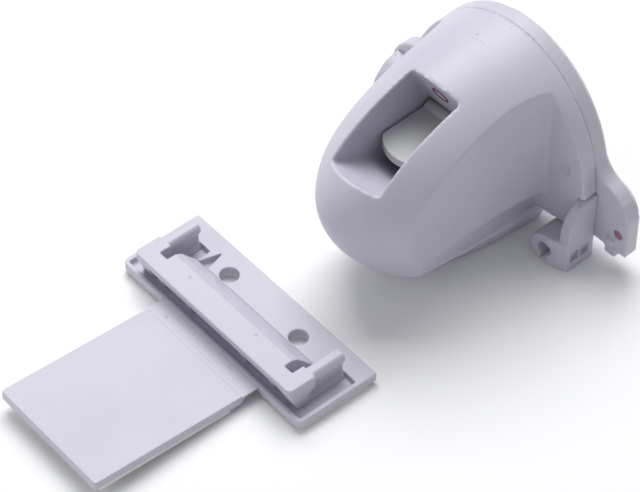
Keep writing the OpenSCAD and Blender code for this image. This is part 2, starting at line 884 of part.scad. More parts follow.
// One wire, swept ring by ring, with a straight start and end
module return_spring() {
    path = spring_path;
    last = spring_last;
    rings = [for (i = [0 : last])
        let (way = i == 0 || i == last ? [0, 1, 0] : path[i + 1] - path[i - 1],
            d = way / norm(way),
            out = i == 0 || i == last ? [1, 0, 0]
                : [path[i].x, 0, path[i].z] / norm([path[i].x, 0, path[i].z]),
            side = cross(d, out) / norm(cross(d, out)), up = cross(side, d))
        for (k = [0 : wire_sides - 1]) let (a = 360 * k / wire_sides)
            path[i] + wire_radius * (cos(a) * up + sin(a) * side)];
    sides = [for (i = [0 : last - 1]) for (k = [0 : wire_sides - 1]) let (j = (k + 1) % wire_sides)
        each [[i * wire_sides + k, (i + 1) * wire_sides + j, i * wire_sides + j],
            [i * wire_sides + k, (i + 1) * wire_sides + k, (i + 1) * wire_sides + j]]];
    color(steel_colour)
        in_lock()
            translate([0, -seat_front, seat_z])
                polyhedron(rings, concat([[for (k = [0 : wire_sides - 1]) k]],
                    [[for (k = [wire_sides - 1 : -1 : 0]) last * wire_sides + k]], sides));
}

// A fin with its C-shaped hook, for the right side, with the fin moved out
module hook_clip(out) {
    difference() {
        union() {
            translate([fin_half + out - fin_thickness / 2, 0, 0])
                across(fin_thickness)
                    union() {
                        translate([-fin_depth, 0])
                            square([fin_depth, fin_height - fin_depth]);
                        intersection() {
                            translate([0, fin_height - fin_depth])
                                circle(fin_depth);
                            translate([-fin_depth, 0])
                                square([fin_depth, fin_height]);
                        }
                    }
            behind(-hook_front, hook_length)
                difference() {
                    union() {
                        translate([ear_x, hook_outer])
                            circle(hook_outer);
                        translate([ear_x, 0])
                            square([fin_half + out - ear_x, 2 * hook_outer]);
                    }
                    translate([ear_x, hook_outer])
                        circle(hook_hollow);
                    translate([ear_x - hook_slot / 2, -cut_over])
                        square([hook_slot, hook_outer + cut_over]);
                }
        }
        translate([0, 0, -cut_over])
            linear_extrude(2 * hook_outer + 2 * cut_over)
                polygon([[ear_x + hook_slot / 2, -hook_front], [fin_half + out, -fin_depth],
                    [fin_half + out + cut_over, -fin_depth], [fin_half + out + cut_over, -hook_front - cut_over],
                    [ear_x + hook_slot / 2, -hook_front - cut_over]]);
        for (share = [0, 1])
            translate([fin_half + out - fin_pocket_depth,
                -fin_depth + fin_pocket_depth + share * (fin_pocket_width + fin_pocket_depth / 2),
                hook_wall])
                cube([fin_pocket_depth + cut_over, fin_pocket_width, fin_pocket_height]);
    }
}

module right_hook_clip() {
    color(plastic_colour)
        in_lock()
            translate([hook_shift, 0, 0])
                hook_clip(0);
}

module left_hook_clip() {
    color(plastic_colour)
        in_lock()
            translate([hook_shift, 0, 0])
                mirror([1, 0, 0])
                    hook_clip(left_fin_out);
}

module plate_holes(radius) {
    for (x = [-hole_spacing / 2, hole_spacing / 2])
        translate([x, hole_y, -cut_over])
            cylinder(rail_top + 2 * cut_over, radius, radius);
}

module base_tray() {
    inner = rail_length / 2 - tray_rim;
    recess = [[inner, plate_front + tray_rim], [inner, strip_front], [slope_half, strip_front],
        [slope_half, slope_foot]];
    pocket_x = -rail_length / 2 + pocket_inset;
    pocket_foot = pad_thickness + (plate_thickness - tray_floor) / 6;
    pocket_fall = atan((floor_z - pocket_foot) / pocket_width);
    color(plastic_colour)
        difference() {
            translate([0, 0, pad_thickness])
                linear_extrude(plate_thickness) {
                    rounded_outline(rail_length, rail_depth, plate_corner);
                    translate([-rail_length / 2, 0])
                        square([rail_length, plate_rear]);
                }
            translate([0, 0, floor_z])
                linear_extrude(plate_thickness)
                    polygon(concat(recess, mirrored(recess)));
            intersection() {
                translate([0, 0, pocket_foot])
                    linear_extrude(plate_thickness)
                        polygon([[pocket_x, slope_foot - sliver], [pocket_x + pocket_width, slope_foot - sliver],
                            [pocket_x + pocket_width / 2, slope_foot + pocket_depth]]);
                translate([pocket_x - pocket_width, 0, floor_z + pocket_width * tan(pocket_fall)])
                    rotate([0, pocket_fall, 0])
                        cube([rail_depth, rail_depth, rail_depth]);
            }
            plate_holes(hole_radius);
        }
}

// Section of an ear: foot, neck and bulb, with the bulb cut level with the rail's top
module ear_section() {
    translate([-ear_neck / 2, floor_z])
        square([ear_neck, ear_height - floor_z]);
    polygon([[-ear_foot / 2, floor_z], [ear_foot / 2, floor_z],
        [ear_neck / 2, floor_z + ear_foot / 2], [-ear_neck / 2, floor_z + ear_foot / 2]]);
    intersection() {
        translate([0, ear_height])
            circle(ear_radius);
        translate([-ear_radius, ear_height - ear_radius])
            square([2 * ear_radius, rail_top - ear_height + ear_radius]);
    }
}

module rib_section() {
    polygon([[lip_front + rib_thickness / 4, lip_under + sliver], [wall_front + sliver, lip_under + sliver],
        [wall_front + sliver, floor_z], [wall_front - rib_thickness / 2, floor_z]]);
}

module rail_bridge() {
    color(plastic_colour)
        union() {
            translate([0, 0, lip_under])
                linear_extrude(lip_thickness)
                    intersection() {
                        translate([0, lip_front + rail_depth / 2])
                            rounded_outline(bar_length, rail_depth, plate_corner);
                        union() {
                            translate([-bar_half, lip_front])
                                square([bar_length, wall_back - lip_front]);
                            both_sides()
                                translate([bar_half - root_width, lip_front])
                                    square([root_width, root_depth]);
                        }
                    }
            across(slope_length)
                polygon([[wall_front, floor_z], [wall_front, rail_top],
                    [wall_back + crown_depth, rail_top],
                    [wall_back + crown_depth + lip_thickness, rail_top - lip_thickness / 2],
                    [slope_foot, plate_top], [slope_foot, floor_z]]);
            for (x = [-rib_outer, -rib_inner, rib_inner, rib_outer])
                translate([x, 0, 0])
                    across(rib_thickness)
                        rib_section();
            both_sides()
                translate([bar_half - root_width / 2, 0, 0])
                    across(root_width)
                        polygon([[lip_front + rib_thickness / 4, lip_under + sliver],
                            [wall_front - rib_thickness / 2, floor_z],
                            [wall_front + lip_overhang, floor_z],
                            [wall_front + lip_overhang, floor_z + lip_overhang],
                            [lip_front + root_depth, lip_under - lip_thickness],
                            [lip_front + root_depth, lip_under + sliver]]);
            translate([-bar_half + root_width, wall_front, floor_z])
                cube([bar_length - 2 * root_width, lip_wall, rail_top - floor_z]);
            both_sides()
                translate([ear_x, 0, 0])
                    behind(wall_back, strip_front - wall_back)
                        ear_section();
        }
}

// The tongue's own place: to one side, and leaning up about the web's end
module on_tongue() {
    translate([tongue_x, web_end, fold_z])
        rotate([-tongue_lift, 0, 0])
            translate([0, -web_end, -fold_z])
                children();
}

module hinge_web() {
    under = web_top - web_thickness;
    color(plastic_colour)
        difference() {
            translate([tongue_x, 0, 0])
                across(tongue_width)
                    difference() {
                        translate([web_end, under - web_fillet])
                            square([web_length, web_fillet + web_thickness]);
                        translate([web_end + web_fillet, under - web_fillet])
                            circle(web_fillet);
                        translate([web_end + web_fillet, under - web_fillet])
                            square([web_length, web_fillet]);
                    }
            on_tongue()
                translate([-tongue_width, tongue_end, 0])
                    cube([2 * tongue_width, tongue_length, rail_top]);
        }
}

module tongue_plate() {
    chamfer = plate_thickness / 5;
    color(plastic_colour)
        on_tongue()
            difference() {
                translate([0, (web_end + tongue_end) / 2, pad_thickness])
                    linear_extrude(plate_thickness)
                        union() {
                            rounded_outline(tongue_width, tongue_length, tongue_corner);
                            translate([-tongue_width / 2, tongue_length / 2 - tongue_corner])
                                square([tongue_width, tongue_corner]);
                        }
                across(tongue_width + 2 * cut_over)
                    polygon([[web_end - chamfer, pad_thickness], [web_end, pad_thickness + chamfer],
                        [web_end + cut_over, pad_thickness + chamfer], [web_end + cut_over, 0],
                        [web_end - chamfer, 0]]);
            }
}

module tongue_pad() {
    color(pad_colour)
        on_tongue()
            translate([0, (web_end - pad_setback + tongue_end + pad_inset) / 2, 0])
                linear_extrude(pad_thickness)
                    rounded_outline(tongue_width - 2 * pad_side, tongue_length - pad_setback - pad_inset,
                        tongue_corner);
}

module base_pad() {
    color(pad_colour)
        difference() {
            linear_extrude(pad_thickness)
                rounded_outline(rail_length - 2 * pad_side, rail_depth - 2 * pad_inset, plate_corner);
            plate_holes(hole_radius + pad_inset / 4);
        }
}

front_shell();
back_plate();
inner_frame();
left_hook_clip();
right_hook_clip();
shell_screws();
frame_screws();
back_pad();
back_liner();
release_lever();
lever_pin();
latch_claw();
latch_pin();
return_spring();
ring_mark();
base_tray();
rail_bridge();
hinge_web();
tongue_plate();
tongue_pad();
base_pad();
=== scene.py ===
"""Cabinet safety lock: the finished look of the lock body and its catch plate.

All lengths are metres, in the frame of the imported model. Pieces of the lock body are
shaped in the lock's own frame, whose origin is the middle of the seam between cover
and back plate, on the surface, and are then turned into place.
"""

import logging
import math
from dataclasses import dataclass, field
from enum import Enum
from functools import cached_property
from typing import Iterable, Sequence

import bmesh
import bpy
from mathutils import Matrix, Vector


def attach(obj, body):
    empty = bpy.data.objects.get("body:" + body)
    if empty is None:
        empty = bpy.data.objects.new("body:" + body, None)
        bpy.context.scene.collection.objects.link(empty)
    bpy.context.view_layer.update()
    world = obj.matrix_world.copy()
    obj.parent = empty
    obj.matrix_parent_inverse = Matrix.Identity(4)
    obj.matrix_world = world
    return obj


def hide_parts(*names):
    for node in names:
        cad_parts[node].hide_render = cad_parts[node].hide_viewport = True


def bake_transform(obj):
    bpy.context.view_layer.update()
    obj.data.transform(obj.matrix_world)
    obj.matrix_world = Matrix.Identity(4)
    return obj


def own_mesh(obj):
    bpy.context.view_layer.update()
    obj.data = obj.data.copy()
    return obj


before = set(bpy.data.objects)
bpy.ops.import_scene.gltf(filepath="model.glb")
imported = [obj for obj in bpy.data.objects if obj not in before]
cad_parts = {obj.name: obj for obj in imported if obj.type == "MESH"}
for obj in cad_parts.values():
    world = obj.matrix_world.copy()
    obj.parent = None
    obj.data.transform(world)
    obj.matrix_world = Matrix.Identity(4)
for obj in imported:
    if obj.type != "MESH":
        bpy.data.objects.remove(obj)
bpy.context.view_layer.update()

LOG = logging.getLogger("cabinet_lock")

# Settings that several finishes or pieces share
NOISE_ROUGHNESS = 0.55
ROUND_SIDES = 48
SMOOTH_ANGLE = math.radians(40.0)
MERGE_DISTANCE = 2e-6
CAST_FLATTEN = 0.6
PAD_EDGE = 0.0002
PAD_ANGLE = 40.0

Object = bpy.types.Object
Material = bpy.types.Material
Spot = tuple[float, float]
Point = tuple[float, float, float]
Colour = tuple[float, float, float, float]


class Body(Enum):
    """The moving bodies that a piece can ride on."""

    CATCH_PLATE = "catch_plate"
    TONGUE = "tongue"
    LOCK_BODY = "lock_body"
    LEVER = "lever"
    LATCH = "latch"


class Slot(Enum):
    """The record's material slots."""

    WHITE = "white_plastic"
    INNER = "inner_plastic"
    GREY = "grey_plastic"
    FOAM = "foam"
    FILM = "red_film"
    INK = "red_ink"
    STEEL = "steel"


class Join(Enum):
    """The ways in which one solid works on another."""

    ADD = "UNION"
    CUT = "DIFFERENCE"
    KEEP = "INTERSECT"


# Shader maths


class Value:
    """An output socket that takes part in arithmetic."""

    def __init__(self, graph: "Graph", socket: bpy.types.NodeSocket) -> None:
        """Keeps the socket and the graph that its maths goes into.

        Args:
            graph: the graph that owns the socket.
            socket: the output to wrap.
        """
        self.graph = graph
        self.socket = socket

    def __add__(self, other: "Value | float") -> "Value":
        """The sum."""
        return self.graph.math("ADD", self, other)

    __radd__ = __add__

    def __sub__(self, other: "Value | float") -> "Value":
        """The difference."""
        return self.graph.math("SUBTRACT", self, other)

    def __rsub__(self, other: float) -> "Value":
        """The difference, from a number."""
        return self.graph.math("SUBTRACT", other, self)

    def __mul__(self, other: "Value | float") -> "Value":
        """The product."""
        return self.graph.math("MULTIPLY", self, other)

    __rmul__ = __mul__

    def band(self, low: float, high: float) -> "Value":
        """A smooth step from 0 at one value to 1 at another.

        Args:
            low: the value that gives 0.
            high: the value that gives 1.

        Returns:
            The step.
        """
        return self.graph.node(
            "ShaderNodeMapRange",
            {"interpolation_type": "SMOOTHSTEP"},
            {"Value": self, "From Min": low, "From Max": high},
        )


class Graph:
    """A material's node tree, built from Python expressions."""

    def __init__(self, name: str) -> None:
        """Starts a material with its shader.

        Args:
            name: the material's name.
        """
        self.material = bpy.data.materials.new(name)
        self.material.use_nodes = True
        self.tree = self.material.node_tree
        self.tree.nodes.clear()
        self.shader = self.tree.nodes.new("ShaderNodeBsdfPrincipled")
        output = self.tree.nodes.new("ShaderNodeOutputMaterial")
        self.tree.links.new(self.shader.outputs["BSDF"], output.inputs["Surface"])
        self.place = self.node("ShaderNodeTexCoord", output="Object")

    def node(
        self,
        kind: str,
        settings: dict[str, object] | None = None,
        inputs: dict[str | int, object] | None = None,
        output: str | int = 0,
    ) -> Value:
        """Adds a node.

        Args:
            kind: the node's type.
            settings: properties, set before the sockets.
            inputs: values or links of the input sockets.
            output: which output to return.

        Returns:
            That output.
        """
        made = self.tree.nodes.new(kind)
        for key, value in (settings or {}).items():
            setattr(made, key, value)
        for key, value in (inputs or {}).items():
            self.feed(made.inputs[key], value)
        return Value(self, made.outputs[output])

    def feed(self, socket: bpy.types.NodeSocket, value: object) -> None:
        """Links a value to an input, or sets it there.

        Args:
            socket: the input.
            value: an output to link, or a plain value to set.
        """
        if isinstance(value, Value):
            self.tree.links.new(value.socket, socket)
        else:
            socket.default_value = value

    def math(self, operation: str, *operands: "Value | float") -> Value:
        """Adds one Math node."""
        return self.node("ShaderNodeMath", {"operation": operation}, dict(enumerate(operands)))

    def noise(self, scale: float, detail: float = 2.0, stretch: Point = (1.0, 1.0, 1.0)) -> Value:
        """Noise over the object's own coordinates.

        Args:
            scale: waves per metre.
            detail: octaves.
            stretch: how each axis is scaled before.

        Returns:
            A value about 0.5.
        """
        place = self.node("ShaderNodeMapping", None, {"Vector": self.place, "Scale": stretch})
        return self.node(
            "ShaderNodeTexNoise",
            {"noise_dimensions": "3D"},
            {"Vector": place, "Scale": scale, "Detail": detail, "Roughness": NOISE_ROUGHNESS},
        )

    def cells(self, scale: float) -> Value:
        """Distance to the nearest cell centre, at so many cells a metre."""
        return self.node("ShaderNodeTexVoronoi", None, {"Vector": self.place, "Scale": scale})

    def mix(self, factor: Value | float, first: object, second: object) -> Value:
        """Blends two colours.

        Args:
            factor: 0 for the first, 1 for the second.
            first: a colour or a value.
            second: a colour or a value.

        Returns:
            The blended colour.
        """
        return self.node(
            "ShaderNodeMix", {"data_type": "RGBA"}, {0: factor, 6: first, 7: second}, 2
        )

    def far(self, centre: Point, radii: Point) -> Value:
        """Distance from a point, counted in the radii of an ellipsoid.

        Args:
            centre: the ellipsoid's centre.
            radii: its half lengths along the axes.

        Returns:
            The distance, 1 on the ellipsoid.
        """
        ends = {0: self.place, 1: centre}
        shifted = self.node("ShaderNodeVectorMath", {"operation": "SUBTRACT"}, ends)
        scaled = self.node("ShaderNodeVectorMath", {"operation": "DIVIDE"}, {0: shifted, 1: radii})
        return self.node("ShaderNodeVectorMath", {"operation": "LENGTH"}, {0: scaled}, "Value")

    def bump(self, height: Value, depth: float, after: Value | None = None) -> Value:
        """Turns a height into a normal.

        Args:
            height: the relief, 0 to 1.
            depth: what 1 stands for, in metres.
            after: a normal to build on.

        Returns:
            The normal.
        """
        inputs: dict[str | int, object] = {"Height": height, "Distance": depth, "Strength": 1.0}
        if after is not None:
            inputs["Normal"] = after
        return self.node("ShaderNodeBump", None, inputs)

    def dress(self, **sockets: object) -> Material:
        """Feeds the shader, and hands over the material.

        Args:
            **sockets: values or links of its inputs, with _ for a space in a name.

        Returns:
            The material.
        """
        for key, value in sockets.items():
            self.feed(self.shader.inputs[key.replace("_", " ")], value)
        return self.material


# Finishes


@dataclass(frozen=True)
class Mark:
    """A small mould mark: a sink, a gate or a speck.

    Fields are its centre, its half lengths, how much it darkens, and how deep it sinks. A speck's
    darkening is its own colour; a sink's darkening is painted shade in its hollow.
    """

    centre: Point
    radii: Point
    speck_and_shade_dark: float = 0.0
    sink: float = 0.0


@dataclass(frozen=True)
class MouldedPlastic:
    """Satin moulded plastic with a fine spark-eroded grain, slow shrinkage waves, and a painted
    highlight along its sharp edges.
    """

    name: str
    colour: Colour = (0.575, 0.560, 0.638, 1.0)
    tint: Colour = (0.555, 0.540, 0.622, 1.0)
    roughness: float = 0.42
    grain: float = 0.00001
    waves: float = 0.00004
    glow: float = 0.06
    marks: tuple[Mark, ...] = ()
    cloud_scale: float = 38.0
    flow_scale: float = 160.0
    flow_share: float = 0.16
    grain_scale: float = 5200.0
    wave_scale: float = 55.0
    edge_highlight_range: tuple[float, float] = (0.51, 0.60)
    edge_highlight_share: float = 0.5
    edge_highlight_gain: float = 1.18
    mark_gain: float = 0.35
    refraction: float = 1.46
    scatter: Point = (0.8, 0.75, 1.0)
    scatter_depth: float = 0.0012

    def material(self) -> Material:
        """Builds the material.

        Returns:
            The material.
        """
        graph = Graph(self.name)
        clouds = graph.noise(self.cloud_scale, 3.0)
        flow = graph.noise(self.flow_scale, 2.0, (1.0, 1.0, 0.35))
        grain = graph.noise(self.grain_scale, 2.0)
        colour = graph.mix(clouds.band(0.35, 0.7), self.colour, self.tint)
        streaks = flow.band(0.45, 0.75) * self.flow_share
        colour = graph.mix(streaks, colour, tuple(0.9 * c for c in self.tint))
        # Painted highlight: the colour is lightened along sharp edges, where light catches them.
        edge = graph.node("ShaderNodeNewGeometry", output="Pointiness")
        pale = tuple(min(1.0, self.edge_highlight_gain * c) for c in self.colour)
        edge_highlight = edge.band(*self.edge_highlight_range) * self.edge_highlight_share
        colour = graph.mix(edge_highlight, colour, pale)
        normal = graph.bump(graph.noise(self.wave_scale, 1.0), self.waves)
        normal = graph.bump(grain, self.grain, normal)
        for mark in self.marks:
            near = 1.0 - graph.far(mark.centre, mark.radii).band(0.55, 1.0)
            # Darkening: a speck's own colour, and painted shade in a sink's hollow.
            if mark.speck_and_shade_dark:
                shade_and_dark_tone = tuple(self.mark_gain * c for c in self.colour)
                colour = graph.mix(near * mark.speck_and_shade_dark, colour, shade_and_dark_tone)
            if mark.sink:
                normal = graph.bump(1.0 - near, mark.sink, normal)
        rough = self.roughness + 0.1 * (grain - 0.5) + 0.12 * (clouds - 0.5)
        return graph.dress(
            Base_Color=colour,
            Roughness=rough,
            Normal=normal,
            IOR=self.refraction,
            Subsurface_Weight=self.glow,
            Subsurface_Radius=self.scatter,
            Subsurface_Scale=self.scatter_depth,
        )


@dataclass(frozen=True)
class CellFoam:
    """Closed-cell mounting foam with fine open cells on its cut faces, painted shade in the cell
    pits, and a random darker mottle.
    """

    name: str
    colour: Colour
    # Colour of the painted shade in the pits and of the random darker mottle.
    shade_and_dark_tone: Colour
    cell: float = 0.00035
    cell_depth: float = 0.00006
    lump_share: float = 0.4
    lump_depth: float = 0.00003
    roughness: float = 0.82

    def material(self) -> Material:
        """Builds the material.

        Returns:
            The material.
        """
        graph = Graph(self.name)
        cells = graph.cells(1.0 / self.cell)
        lumps = graph.cells(self.lump_share / self.cell)
        # Painted shade: the colour is darkened in the cell pits; the noise after it is a random
        # darker mottle.
        shaded_pits = 1.0 - cells.band(0.1, 0.55)
        colour = graph.mix(shaded_pits * 0.5, self.colour, self.shade_and_dark_tone)
        colour = graph.mix(graph.noise(90.0).band(0.4, 0.75) * 0.4, colour, self.shade_and_dark_tone)
        normal = graph.bump(lumps.band(0.0, 0.8), self.lump_depth)
        normal = graph.bump(cells, self.cell_depth, normal)
        rough = self.roughness + 0.12 * shaded_pits
        return graph.dress(Base_Color=colour, Roughness=rough, Normal=normal)


@dataclass(frozen=True)
class BrightSteel:
    """Drawn and plated steel, with fine lines along one axis."""

    name: str
    colour: Colour
    stretch: Point = (1.0, 0.04, 1.0)
    line_scale: float = 9000.0
    line_depth: float = 0.000008
    film_scale: float = 700.0
    dull_gain: float = 0.72
    roughness: float = 0.24

    def material(self) -> Material:
        """Builds the material.

        Returns:
            The material.
        """
        graph = Graph(self.name)
        lines = graph.noise(self.line_scale, 3.0, self.stretch)
        film = graph.noise(self.film_scale, 3.0)
        dull = tuple(self.dull_gain * c for c in self.colour[:3]) + (1.0,)
        colour = graph.mix(film.band(0.45, 0.75) * 0.6, self.colour, dull)
        return graph.dress(
            Base_Color=colour,
            Metallic=1.0,
            Roughness=self.roughness + 0.18 * lines + 0.1 * film,
            Normal=graph.bump(lines, self.line_depth),
        )


@dataclass(frozen=True)
class RedFilm:
    """Dull red release film with a slight ripple and pale specks."""

    name: str
    colour: Colour
    pale: Colour
    ripple_scale: float = 260.0
    ripple_depth: float = 0.00005
    speck_scale: float = 3600.0
    roughness: float = 0.3

    def material(self) -> Material:
        """Builds the material.

        Returns:
            The material.
        """
        graph = Graph(self.name)
        ripple = graph.noise(self.ripple_scale, 3.0, (1.0, 1.0, 0.4))
        specks = graph.noise(self.speck_scale, 2.0)
        colour = graph.mix(ripple.band(0.35, 0.75) * 0.5, self.colour, self.pale)
        colour = graph.mix(specks.band(0.6, 0.8) * 0.25, colour, self.pale)
        return graph.dress(
            Base_Color=colour,
            Roughness=self.roughness + 0.15 * specks,
            Normal=graph.bump(ripple, self.ripple_depth),
        )


@dataclass(frozen=True)
class PrintedInk:
    """A printed line whose cover is a little uneven."""

    name: str
    colour: Colour
    thin: Colour
    cover_scale: float = 4200.0
    depth: float = 0.000006
    roughness: float = 0.35

    def material(self) -> Material:
        """Builds the material.

        Returns:
            The material.
        """
        graph = Graph(self.name)
        cover = graph.noise(self.cover_scale, 3.0)
        colour = graph.mix(cover.band(0.5, 0.8) * 0.5, self.colour, self.thin)
        return graph.dress(
            Base_Color=colour,
            Roughness=self.roughness + 0.2 * cover,
            Normal=graph.bump(cover, self.depth),
        )


# Bench work


def deselect() -> None:
    """Leaves nothing selected."""
    for obj in bpy.context.selected_objects:
        obj.select_set(False)


def pick(obj: Object) -> None:
    """Makes one object the only selected and active one.

    Args:
        obj: the object.
    """
    deselect()
    obj.select_set(True)
    bpy.context.view_layer.objects.active = obj


def work(obj: Object, kind: str, **settings: object) -> None:
    """Adds a modifier and applies it.

    Args:
        obj: the object to work on.
        kind: the modifier's type.
        **settings: the modifier's settings.
    """
    modifier = obj.modifiers.new(kind.title(), kind)
    for key, value in settings.items():
        setattr(modifier, key, value)
    pick(obj)
    bpy.ops.object.modifier_apply(modifier=modifier.name)


def combine(obj: Object, tool: Object, join: Join) -> None:
    """Works one solid on another, and uses it up.

    Args:
        obj: the solid that stays.
        tool: the solid that is used up.
        join: how the two are joined.
    """
    work(obj, "BOOLEAN", operation=join.value, object=tool, solver="MANIFOLD")
    mesh = tool.data
    bpy.data.objects.remove(tool)
    bpy.data.meshes.remove(mesh)


def from_mesh(name: str, mesh: bpy.types.Mesh) -> Object:
    """Puts a mesh into the scene as an object of its own.

    Args:
        name: the object's name.
        mesh: the mesh.

    Returns:
        The object.
    """
    obj = bpy.data.objects.new(name, mesh)
    bpy.context.scene.collection.objects.link(obj)
    return obj


def from_sheet(sheet: bmesh.types.BMesh) -> Object:
    """Turns a closed sheet's faces outward, and makes an object of it.

    Args:
        sheet: the sheet, which is used up.

    Returns:
        The object.
    """
    bmesh.ops.recalc_face_normals(sheet, faces=sheet.faces)
    mesh = bpy.data.meshes.new("solid")
    sheet.to_mesh(mesh)
    sheet.free()
    return from_mesh("solid", mesh)


def loft(rings: Sequence[Sequence[Point]]) -> Object:
    """Closes a row of rings of equal count into a solid.

    Args:
        rings: the rings, from one end to the other.

    Returns:
        The solid.
    """
    sheet = bmesh.new()
    rows = [[sheet.verts.new(point) for point in ring] for ring in rings]
    for low, high in zip(rows, rows[1:]):
        for i, corner in enumerate(low):
            j = (i + 1) % len(low)
            sheet.faces.new((corner, low[j], high[j], high[i]))
    sheet.faces.new(rows[0][::-1])
    sheet.faces.new(rows[-1])
    return from_sheet(sheet)


def wrap(points: Iterable[Point]) -> Object:
    """The convex skin round some points, as a solid.

    Args:
        points: the points.

    Returns:
        The solid.
    """
    sheet = bmesh.new()
    for point in points:
        sheet.verts.new(point)
    hull = bmesh.ops.convex_hull(sheet, input=sheet.verts)
    loose = [v for v in hull["geom_interior"] if isinstance(v, bmesh.types.BMVert)]
    bmesh.ops.delete(sheet, geom=loose, context="VERTS")
    return from_sheet(sheet)


def block(low: Point, high: Point) -> Object:
    """A rectangular block between two corners.

    Args:
        low: the corner with the least coordinates.
        high: the opposite corner.

    Returns:
        The block.
    """
    size = [b - a for a, b in zip(low, high)]
    middle = [(a + b) / 2 for a, b in zip(low, high)]
    deselect()
    bpy.ops.mesh.primitive_cube_add(size=1.0, location=middle, scale=size)
    bpy.ops.object.transform_apply(location=True, rotation=True, scale=True)
    return bpy.context.object


def rod(low: Point, high: Point, radius: float) -> Object:
    """A round bar between two points.

    Args:
        low: the centre of one end.
        high: the centre of the other end.
        radius: the bar's radius.

    Returns:
        The bar.
    """
    way = Vector(high) - Vector(low)
    turn = way.to_track_quat("Z", "Y").to_euler()
    middle = (Vector(low) + Vector(high)) / 2
    deselect()
    size = {"vertices": ROUND_SIDES, "radius": radius, "depth": way.length}
    bpy.ops.mesh.primitive_cylinder_add(**size, location=middle, rotation=turn)
    bpy.ops.object.transform_apply(location=True, rotation=True, scale=True)
    return bpy.context.object


def across(outline: Sequence[Spot], low: float, high: float) -> Object:
    """An outline in depth and height, drawn out across the lock."""
    return loft([[(x, y, z) for y, z in outline] for x in (low, high)])


def tube(path: Sequence[Point], radius: float) -> Object:
    """A round bar along a path that runs in depth.

    Args:
        path: the points of its middle line.
        radius: the bar's radius.

    Returns:
        The bar.
    """
    turns = [2 * math.pi * i / ROUND_SIDES for i in range(ROUND_SIDES)]
    rings = [
        [(x + radius * math.cos(t), y, z + radius * math.sin(t)) for t in turns]
        for x, y, z in path
    ]
    return loft(rings)


def upright(outline: Sequence[Spot], low: float, high: float) -> Object:
    """An outline in width and depth, drawn out upward."""
    return loft([[(x, y, z) for x, y in outline] for z in (low, high)])


def node_copy(node: str, name: str, flatten: float = 1.0) -> Object:
    """A merged copy of a CAD node, whose flat faces are whole again.

    Args:
        node: the CAD node.
        name: the copy's name.
        flatten: the angle, in degrees, under which neighbouring faces are one.

    Returns:
        The copy.
    """
    obj = from_mesh(name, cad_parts[node].data.copy())
    obj.data.materials.clear()
    pick(obj)
    if obj.data.has_custom_normals:
        bpy.ops.mesh.customdata_custom_splitnormals_clear()
    bpy.ops.object.mode_set(mode="EDIT")
    bpy.ops.mesh.select_all(action="SELECT")
    bpy.ops.mesh.remove_doubles(threshold=MERGE_DISTANCE)
    bpy.ops.mesh.dissolve_limited(angle_limit=math.radians(flatten))
    bpy.ops.object.mode_set(mode="OBJECT")
    return obj


def recast(obj: Object, cell: float, passes: int = 4) -> None:
    """Casts a solid again in small even cells, and eases every edge and inner corner.

    Args:
        obj: the solid.
        cell: the size of the cells.
        passes: how often the surface is eased.
    """
    work(obj, "REMESH", mode="VOXEL", voxel_size=cell, adaptivity=0.0)
    work(obj, "SMOOTH", factor=0.5, iterations=passes)
    pick(obj)
    bpy.ops.object.shade_smooth()


def coat(obj: Object, finish: Material) -> None:
    """Gives an object its one material.

    Args:
        obj: the object.
        finish: the material.
    """
    obj.data.materials.clear()
    obj.data.materials.append(finish)


def dress_node(node: str, finish: Material) -> Object:
    """Gives a CAD node, whose shape is right, its material.

    Args:
        node: the CAD node.
        finish: the material.

    Returns:
        The node's object.
    """
    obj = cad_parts[node]
    coat(obj, finish)
    return obj


@dataclass(frozen=True)
class Piece:
    """A piece that stands for a CAD node: the node, its own name, its finish and body."""

    node: str
    name: str
    finish: Material
    body: Body = Body.LOCK_BODY
    slot: Slot = Slot.WHITE

    def hand_over(self, obj: Object) -> Object:
        """Dresses the finished solid, and gives it to the body that it rides on.

        Args:
            obj: the solid.

        Returns:
            The solid.
        """
        obj.name = self.name
        coat(obj, self.finish)
        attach(obj, self.body.value)
        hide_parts(self.node)
        return obj

    def cast(self, cell: float) -> Object:
        """Builds the node as a moulding with every edge and inner corner eased.

        Args:
            cell: the size of the cells that it is cast in.

        Returns:
            The piece.
        """
        solid = node_copy(self.node, self.name, CAST_FLATTEN)
        recast(solid, cell)
        return self.hand_over(solid)

    def soften(self, edge: float, angle: float = 32.0) -> Object:
        """Builds the node with its sharp edges rounded.

        Args:
            edge: the width of the rounding.
            angle: edges that turn by more than this, in degrees, are rounded.

        Returns:
            The piece.
        """
        solid = node_copy(self.node, self.name)
        work(
            solid,
            "BEVEL",
            width=edge,
            segments=3,
            limit_method="ANGLE",
            angle_limit=math.radians(angle),
            use_clamp_overlap=True,
        )
        pick(solid)
        bpy.ops.object.shade_smooth_by_angle(angle=SMOOTH_ANGLE)
        work(solid, "WEIGHTED_NORMAL", keep_sharp=True)
        return self.hand_over(solid)

    def pad(self) -> Object:
        """Builds the node as a foam pad, which keeps its full thickness."""
        pad = self.soften(PAD_EDGE, PAD_ANGLE)
        return pad


# Sub-assemblies


